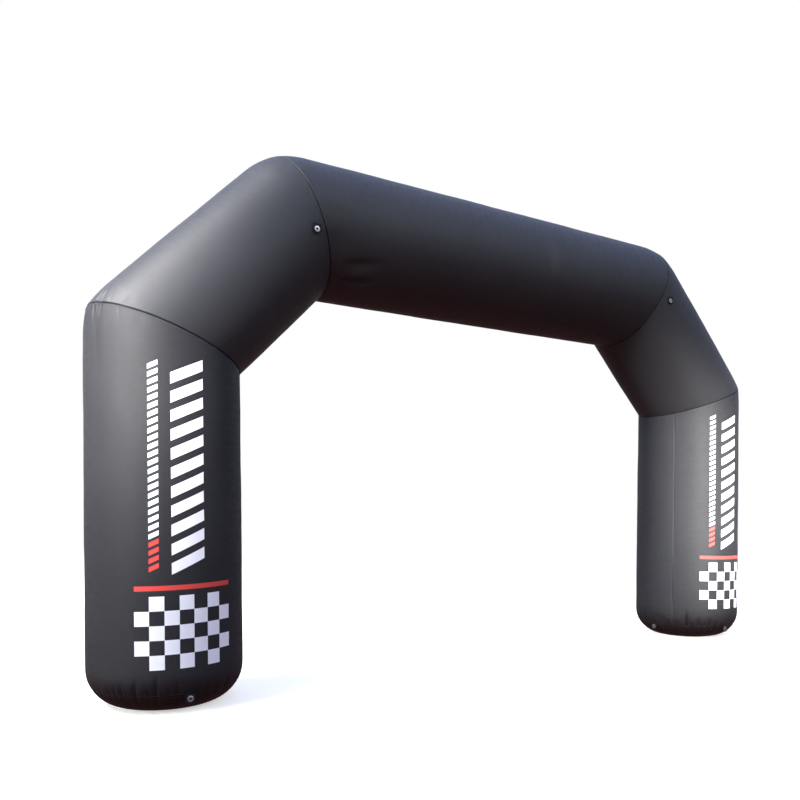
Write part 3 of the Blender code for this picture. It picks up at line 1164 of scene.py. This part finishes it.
    def build_eyelet(self, material: bpy.types.Material) -> bpy.types.Object:
        """Makes the eyelet: a domed flange whose barrel is rolled over a washer behind the tab.

        Its profile is the radius, and the distance in front of the tab's middle, round the metal's section.

        Args:
            material: The metal's finish.

        Returns:
            The eyelet's object, which stands for its solid.
        """
        face = self.thickness / 2
        profile = [
            (0.0085, 0.0),
            (0.0086, face + 0.0002),
            (0.0090, face + 0.0011),
            (0.0099, face + 0.0017),
            (0.0112, face + 0.0019),
            (0.0130, face + 0.0018),
            (0.0152, face + 0.0014),
            (0.0175, face + 0.0009),
            (0.0192, face + 0.0006),
            (0.0199, face + 0.0004),
            (0.0200, face + 0.0002),
            (0.0195, face + 0.0001),
            (0.0102, face + 0.0001),
            (0.0101, -face - 0.0001),
            (0.0196, -face - 0.0001),
            (0.0200, -face - 0.0003),
            (0.0196, -face - 0.0007),
            (0.0150, -face - 0.0008),
            (0.0136, -face - 0.0009),
            (0.0132, -face - 0.0014),
            (0.0122, -face - 0.0018),
            (0.0108, -face - 0.0018),
            (0.0094, -face - 0.0013),
            (0.0086, -face - 0.0004),
        ]
        steps = self.eyelet_sides
        points, faces = [], []
        for step in range(steps):
            turn = math.tau * step / steps
            ahead = self.across * math.cos(turn) + UP * math.sin(turn)
            points += [self.place + ahead * radius + self.facing * out for radius, out in profile]
        count = len(profile)
        for step in range(steps):
            here, after = step * count, (step + 1) % steps * count
            for number in range(count):
                following = (number + 1) % count
                faces.append([here + number, after + number, after + following, here + following])
        piece = mesh_object(f"{self.name}_eyelet", np.array(points), faces, material)
        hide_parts(f"eyelet_{self.name}")
        return piece


@dataclass
class Arch:
    """The whole arch: its tubes, bottom panels and anchors."""

    sizes: ArchSizes
    seam: SewnSeam
    column_join_deg: float = 155.0
    upper_join_deg: float = -125.0

    def tubes(self) -> list[AirTube]:
        """The five tubes, from the left foot to the right one."""
        sizes = self.sizes
        found = []
        crowns = {}
        for side in (Side.LEFT, Side.RIGHT):
            sign = float(side.value)
            label = side.name.lower()
            foot = np.array((sign * sizes.foot_half_span, 0.0, 0.0))
            elbow = np.array((sign * sizes.elbow_half_span, 0.0, sizes.elbow_height))
            crown = np.array((sign * sizes.crown_half_span, 0.0, sizes.crown_height))
            far_crown = crown * np.array((-1.0, 1.0, 1.0))
            elbow_normal = unit(unit(elbow - foot) + unit(crown - elbow))
            crown_normal = unit(unit(crown - elbow) + unit(far_crown - crown))
            seam_height = sizes.base_seam_height
            base = np.array((sign * sizes.axis_half_span(seam_height), 0.0, seam_height))
            gap = sizes.seam_gap / 2
            seed = MITRE_SEEDS[side]
            crowns[side] = (crown, crown_normal, seed)
            found.append(
                AirTube(
                    name=f"{label}_column_tube",
                    node=f"column_{label}",
                    side=side,
                    start=foot,
                    end=elbow,
                    first=TubeEnd(base + UP * gap, UP, 0.0, base_creases(side)),
                    last=TubeEnd(
                        elbow - elbow_normal * gap,
                        elbow_normal,
                        sizes.elbow_draw,
                        mitre_creases(seed + 1, LEFT_ELBOW_CREASES if side is Side.LEFT else ()),
                    ),
                    swell=sizes.column_swell,
                    join_deg=self.column_join_deg,
                    has_foot=True,
                    sizes=sizes,
                    seam=self.seam,
                )
            )
            found.append(
                AirTube(
                    name=f"{label}_shoulder_tube",
                    node=f"shoulder_{label}",
                    side=side,
                    start=elbow,
                    end=crown,
                    first=TubeEnd(
                        elbow + elbow_normal * gap,
                        elbow_normal,
                        sizes.elbow_draw,
                        mitre_creases(seed + 2, LEFT_SHOULDER_CREASES if side is Side.LEFT else ()),
                    ),
                    last=TubeEnd(
                        crown - crown_normal * gap,
                        crown_normal,
                        sizes.crown_draw,
                        mitre_creases(seed + 3),
                    ),
                    swell=sizes.shoulder_swell,
                    join_deg=self.upper_join_deg,
                    has_foot=False,
                    sizes=sizes,
                    seam=self.seam,
                )
            )
        left, left_normal, left_seed = crowns[Side.LEFT]
        right, right_normal, right_seed = crowns[Side.RIGHT]
        found.append(
            AirTube(
                name="beam_tube",
                node="beam",
                side=Side.MIDDLE,
                start=left,
                end=right,
                first=TubeEnd(
                    left + left_normal * gap,
                    left_normal,
                    sizes.crown_draw,
                    mitre_creases(left_seed + 4, BEAM_CREASES),
                ),
                last=TubeEnd(
                    right + right_normal * gap,
                    right_normal,
                    sizes.crown_draw,
                    mitre_creases(right_seed + 4),
                ),
                swell=sizes.beam_swell,
                join_deg=self.upper_join_deg,
                has_foot=False,
                sizes=sizes,
                seam=self.seam,
            )
        )
        return found

    def anchors(self, walls: dict[str, BVHTree]) -> list[Anchor]:
        """The anchors, at the frame's own eyelets.

        Args:
            walls: The tubes' surfaces, by node.

        Returns:
            One anchor for each eyelet of the frame.
        """
        inward = {"left": np.array((1.0, 0.0, 0.0)), "right": np.array((-1.0, 0.0, 0.0))}
        found = []
        for node in sorted(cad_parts):
            if not node.startswith("eyelet_"):
                continue
            name = node.removeprefix("eyelet_")
            kind, side, face = name.split("_")
            facing = {"front": FRONT, "back": -FRONT, "inner": inward[side]}[face]
            low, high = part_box(node)
            place = (np.array(low) + np.array(high)) / 2
            tube = f"{'column' if kind == 'base' else 'shoulder'}_{side}"
            found.append(Anchor(name=name, place=place, facing=facing, wall=walls[tube]))
        return found

    def build(self) -> None:
        """Makes every piece of the arch."""
        cloth = CoatedCloth("black_coated_cloth").material()
        printed = PrintedCloth("black_printed_cloth", roughness=(0.58, 0.68), gloss=0.25).material()
        stained = StainedCloth("black_stained_cloth").material()
        # The bottom panels' cloth is drawn darker and redder than the tubes': painted shade near the ground,
        # with a painted reflection of reddish ground.
        bottom = CoatedCloth(
            "black_bottom_cloth",
            dark=(0.0072, 0.0036, 0.0041, 1.0),
            pale=(0.0120, 0.0072, 0.0076, 1.0),
            roughness=(0.56, 0.66),
            gloss=0.22,
            weave_pitch=0.0026,
        ).material()
        thread = ThreadFinish().material()
        stitching = Stitching()
        walls = {}
        for tube in self.tubes():
            finish = printed if tube.has_foot else stained if tube.side is Side.MIDDLE else cloth
            piece = tube.build(finish)
            tube.sew(stitching, thread)
            walls[tube.node] = BVHTree.FromPolygons(
                [vertex.co for vertex in piece.data.vertices],
                [face.vertices for face in piece.data.polygons if len(face.vertices) == 4],
            )
        for side in (Side.LEFT, Side.RIGHT):
            label = side.name.lower()
            BottomPanel(
                name=f"{label}_bottom_panel",
                node=f"base_panel_{label}",
                side=side,
                creases=base_creases(side),
                sizes=self.sizes,
                seam=self.seam,
            ).build(bottom)
        tape = WovenTape().material()
        metal = PlatedSteel().material()
        small_stitching = Stitching(pitch=0.0042, length=0.0032, thread=0.0005)
        for anchor in self.anchors(walls):
            anchor.build_tab(tape)
            anchor.sew(small_stitching, thread)
            anchor.build_eyelet(metal)


MITRE_SEEDS = {Side.LEFT: 10, Side.RIGHT: 40}
MITRE_CREASES = CreaseScatter(
    count=34,
    reach=(0.05, 0.17),
    width=(0.010, 0.020),
    depth=(0.0003, 0.0022),
    outer_share=0.55,
    fade=3.0,
)
GATHER_CREASES = CreaseScatter(
    count=42,
    reach=(0.06, 0.15),
    width=(0.008, 0.014),
    depth=(0.0015, 0.0105),
    fade=3.5,
    fold=1.5,
    smooth_at=(90.0, 270.0, 180.0),
)


def gather(azimuth_deg: float, reach: float, width: float, depth: float, slant: float) -> Crease:
    """A sharp crease that rises from the seam of a bottom panel."""
    return Crease(azimuth_deg, 0.0, reach, width, depth, slant, GATHER_CREASES.fade, GATHER_CREASES.fold)


# Seen on the beam's front, low beside its left crown
BEAM_CREASES = (
    Crease(azimuth_deg=80.0, start=0.01, reach=0.34, width=0.060, depth=-0.0045),
    Crease(azimuth_deg=112.0, start=0.00, reach=0.22, width=0.075, depth=0.0070),
    Crease(azimuth_deg=133.0, start=0.10, reach=0.38, width=0.028, depth=0.0150, slant=-0.20, far_side=2.0),
    Crease(azimuth_deg=149.5, start=0.04, reach=0.38, width=0.026, depth=0.0290, slant=-0.20, far_side=1.3),
)

# Seen round the foot of the left column, in front
LEFT_FOOT_CREASES = (
    gather(31.0, 0.10, 0.011, 0.0065, -0.05),
    gather(36.0, 0.13, 0.010, 0.0090, 0.14),
    gather(42.5, 0.14, 0.013, 0.0120, 0.00),
    gather(46.5, 0.08, 0.009, 0.0060, -0.16),
    gather(53.0, 0.17, 0.014, 0.0150, 0.08),
    gather(58.5, 0.08, 0.009, 0.0065, 0.20),
    gather(63.4, 0.12, 0.010, 0.0085, -0.10),
    gather(68.3, 0.20, 0.015, 0.0165, 0.04),
    gather(73.0, 0.08, 0.008, 0.0060, -0.18),
    gather(77.5, 0.11, 0.011, 0.0075, 0.08),
    gather(83.7, 0.16, 0.014, 0.0140, -0.04),
)

# Seen round the foot of the right column, on its inner side
RIGHT_FOOT_CREASES = (
    gather(207.0, 0.14, 0.013, 0.0190, 0.08),
    gather(201.0, 0.10, 0.010, 0.0120, -0.12),
    gather(193.0, 0.19, 0.014, 0.0230, -0.05),
    gather(186.5, 0.10, 0.010, 0.0100, 0.14),
    gather(171.5, 0.17, 0.013, 0.0230, 0.06),
    gather(166.0, 0.13, 0.010, 0.0160, -0.08),
    gather(160.5, 0.09, 0.010, 0.0110, 0.10),
    gather(152.0, 0.10, 0.012, 0.0100, -0.10),
    gather(141.0, 0.22, 0.014, 0.0300, -0.03),
    gather(135.0, 0.11, 0.010, 0.0150, 0.12),
    gather(127.0, 0.15, 0.013, 0.0190, 0.00),
    gather(120.5, 0.09, 0.010, 0.0120, -0.16),
    gather(114.0, 0.17, 0.013, 0.0220, -0.05),
    gather(106.0, 0.12, 0.011, 0.0150, 0.08),
)

# Seen just below the left elbow's seam, towards its outer side
LEFT_ELBOW_CREASES = (
    Crease(azimuth_deg=9.0, start=0.0, reach=0.09, width=0.009, depth=0.0040, slant=0.45, fade=3.0),
    Crease(azimuth_deg=15.5, start=0.0, reach=0.16, width=0.011, depth=0.0100, slant=0.25, fade=3.0),
    Crease(azimuth_deg=20.5, start=0.0, reach=0.58, width=0.026, depth=0.0042, slant=0.05),
    Crease(azimuth_deg=23.0, start=0.0, reach=0.11, width=0.009, depth=0.0085, slant=-0.20, fade=3.0),
    Crease(azimuth_deg=28.0, start=0.0, reach=0.18, width=0.012, depth=0.0095, slant=-0.40, fade=3.0),
    Crease(azimuth_deg=31.0, start=0.0, reach=0.50, width=0.034, depth=-0.0022, slant=-0.03),
    Crease(azimuth_deg=43.0, start=0.0, reach=0.12, width=0.012, depth=0.0034, slant=0.10, fade=3.0),
    Crease(azimuth_deg=48.0, start=0.0, reach=0.36, width=0.024, depth=0.0018, slant=-0.08),
    Crease(azimuth_deg=61.0, start=0.0, reach=0.11, width=0.012, depth=0.0020, fade=3.0),
)

# Seen just above the left elbow's seam, towards its outer side
LEFT_SHOULDER_CREASES = (
    Crease(azimuth_deg=8.0, start=0.0, reach=0.10, width=0.010, depth=0.0045, slant=0.30, fade=3.0),
    Crease(azimuth_deg=17.0, start=0.0, reach=0.17, width=0.012, depth=0.0090, slant=-0.10, fade=3.0),
    Crease(azimuth_deg=24.5, start=0.0, reach=0.24, width=0.014, depth=0.0105, slant=-0.45, fade=3.0),
    Crease(azimuth_deg=33.0, start=0.0, reach=0.11, width=0.010, depth=0.0030, slant=-0.20, fade=3.0),
    Crease(azimuth_deg=47.0, start=0.0, reach=0.18, width=0.017, depth=0.0024, slant=-0.15, fade=3.0),
)


@dataclass(frozen=True)
class FootGathers:
    """One foot's gathers: those listed, the azimuths they cover, and the seed of the others."""

    seen: tuple[Crease, ...]
    covered: tuple[float, float]
    seed: int


FOOT_GATHERS = {
    Side.LEFT: FootGathers(LEFT_FOOT_CREASES, (29.0, 90.0), 3),
    Side.RIGHT: FootGathers(RIGHT_FOOT_CREASES, (100.0, 212.0), 8),
}


def base_creases(side: Side) -> tuple[Crease, ...]:
    """The gathers round the foot of a column."""
    foot = FOOT_GATHERS[side]
    low, high = foot.covered
    others = GATHER_CREASES.creases(foot.seed)
    return (*(crease for crease in others if not low < crease.azimuth_deg < high), *foot.seen)


def mitre_creases(seed: int, seen: tuple[Crease, ...] = ()) -> tuple[Crease, ...]:
    """The small creases that leave a mitred seam, with those listed."""
    return MITRE_CREASES.creases(seed) + seen


@dataclass(frozen=True)
class SoftLight:
    """A square soft light: where it stands, where it points, its size, power, colour and spread."""

    name: str
    place: tuple[float, float, float]
    target: tuple[float, float, float]
    size: float
    power: float
    colour: tuple[float, float, float]
    spread_deg: float = 180.0

    def build(self) -> None:
        """Adds the light to the scene."""
        data = bpy.data.lights.new(self.name, "AREA")
        data.shape = "SQUARE"
        data.size = self.size
        data.energy = self.power
        data.color = self.colour
        data.spread = math.radians(self.spread_deg)
        light = bpy.data.objects.new(self.name, data)
        light.location = self.place
        aim = Vector(self.target) - Vector(self.place)
        light.rotation_euler = aim.to_track_quat("-Z", "Y").to_euler()
        light.visible_camera = False
        bpy.context.scene.collection.objects.link(light)


@dataclass(frozen=True)
class Studio:
    """The pale floor, the soft light and the camera."""

    camera_place: tuple[float, float, float] = (-4.091, -5.479, 1.332)
    yaw_deg: float = 33.36
    pitch_deg: float = 1.83
    roll_deg: float = 0.28
    lens: float = 35.73
    sensor: float = 36.0
    shift: tuple[float, float] = (-0.0436, 0.0961)
    floor_radius: float = 34.0
    floor_fade: tuple[float, float] = (6.0, 19.0)
    floor_colour: Colour = (0.82, 0.76, 0.64, 1.0)
    floor_glow: float = 0.52
    floor_roughness: float = 0.9
    floor_gloss: float = 0.1
    floor_corners: int = 96
    backdrop: Colour = (1.0, 1.0, 1.0, 1.0)
    light_bands: tuple[tuple[float, Colour], ...] = (
        (0.00, (0.26, 0.110, 0.115, 1.0)),
        (0.25, (0.21, 0.092, 0.098, 1.0)),
        (0.41, (0.16, 0.075, 0.080, 1.0)),
        (0.50, (0.46, 0.44, 0.49, 1.0)),
        (0.56, (0.58, 0.60, 0.68, 1.0)),
        (0.72, (0.56, 0.66, 0.98, 1.0)),
        (1.00, (0.52, 0.74, 1.50, 1.0)),
    )

    def build(self) -> None:
        """Makes the studio."""
        self.add_camera()
        self.add_sky()
        self.add_floor()
        for light in STUDIO_LIGHTS:
            light.build()

    def add_camera(self) -> None:
        """Adds the camera at the photograph's viewpoint."""
        data = bpy.data.cameras.new("camera")
        data.sensor_width = self.sensor
        data.lens = self.lens
        data.shift_x, data.shift_y = self.shift
        yaw, pitch, roll = (math.radians(a) for a in (self.yaw_deg, self.pitch_deg, self.roll_deg))
        ahead = Vector((math.sin(yaw) * math.cos(pitch), math.cos(yaw) * math.cos(pitch), math.sin(pitch)))
        level = Vector((math.cos(yaw), -math.sin(yaw), 0.0))
        above = level.cross(ahead)
        right = level * math.cos(roll) + above * math.sin(roll)
        top = above * math.cos(roll) - level * math.sin(roll)
        camera = bpy.data.objects.new("camera", data)
        turned = Matrix((right, top, -ahead)).transposed().to_4x4()
        camera.matrix_world = Matrix.Translation(self.camera_place) @ turned
        bpy.context.scene.collection.objects.link(camera)
        bpy.context.scene.camera = camera

    def add_sky(self) -> None:
        """Lights the studio from a dark ground up to a bluish top, before a plain pale backdrop."""
        world = bpy.data.worlds.new("studio")
        world.use_nodes = True
        nodes, links = world.node_tree.nodes, world.node_tree.links
        place = nodes.new("ShaderNodeTexCoord")
        parts = nodes.new("ShaderNodeSeparateXYZ")
        height = nodes.new("ShaderNodeMapRange")
        height.inputs["From Min"].default_value = -1.0
        bands = nodes.new("ShaderNodeValToRGB")
        stops = bands.color_ramp.elements
        while len(stops) < len(self.light_bands):
            stops.new(0.5)
        for stop, (at, colour) in zip(stops, self.light_bands):
            stop.position = at
            stop.color = colour
        shown = nodes.new("ShaderNodeMix")
        shown.data_type = "RGBA"
        shown.inputs[7].default_value = self.backdrop
        path = nodes.new("ShaderNodeLightPath")
        links.new(place.outputs["Generated"], parts.inputs[0])
        links.new(parts.outputs[2], height.inputs[0])
        links.new(height.outputs[0], bands.inputs[0])
        links.new(bands.outputs[0], shown.inputs[6])
        links.new(path.outputs["Is Camera Ray"], shown.inputs[0])
        links.new(shown.outputs[2], nodes["Background"].inputs["Color"])
        bpy.context.scene.world = world
        bpy.context.scene.view_settings.view_transform = "Standard"

    def add_floor(self) -> None:
        """Adds the floor, which fades into the sky far from the arch."""
        made = Shader("pale_floor")
        made.surface.inputs["Base Color"].default_value = self.floor_colour
        made.surface.inputs["Roughness"].default_value = self.floor_roughness
        made.surface.inputs["Specular IOR Level"].default_value = self.floor_gloss
        made.surface.inputs["Emission Color"].default_value = self.backdrop
        made.surface.inputs["Emission Strength"].default_value = self.floor_glow
        distance = made.node("ShaderNodeVectorMath", operation="LENGTH")
        made.feed(distance.inputs[0], made.object_place())
        solid = made.ranged(distance.outputs["Value"], self.floor_fade, (1.0, 0.0))
        made.feed(made.surface.inputs["Alpha"], solid)
        count = self.floor_corners
        turns = np.arange(count) * math.tau / count
        rim = np.stack((np.cos(turns), np.sin(turns), 0.0 * turns), axis=1) * self.floor_radius
        mesh = bpy.data.meshes.new("floor")
        mesh.from_pydata(rim.tolist(), [], [list(range(count))])
        mesh.materials.append(made.material)
        floor = bpy.data.objects.new("floor", mesh)
        bpy.context.scene.collection.objects.link(floor)
        floor.visible_diffuse = False
        floor.visible_glossy = False


STUDIO_LIGHTS = (
    SoftLight("key", (-15.0, 1.0, 18.0), (0.0, 0.0, 1.5), 6.0, 10000.0, (1.0, 0.98, 0.95)),
    SoftLight("near", (-7.5, -3.2, 4.6), (-3.0, -0.2, 2.35), 1.6, 42.0, (1.0, 0.98, 0.96), 19.0),
    SoftLight("far", (0.5, -8.8, 3.0), (2.60, 0.0, 1.35), 2.0, 76.0, (1.0, 0.98, 0.96), 12.0),
    SoftLight("side", (-16.0, -4.0, 9.0), (-1.9, 0.0, 3.1), 6.0, 190.0, (0.94, 0.97, 1.0), 24.0),
    SoftLight("front", (5.0, -15.0, 13.0), (0.0, 0.0, 1.5), 7.0, 700.0, (0.90, 0.95, 1.0)),
)


def main() -> None:
    """Builds the studio and the arch."""
    logging.basicConfig(level=logging.INFO, format="%(message)s")
    Studio().build()
    Arch(ArchSizes(), SewnSeam()).build()


if __name__ == "__main__":
    main()
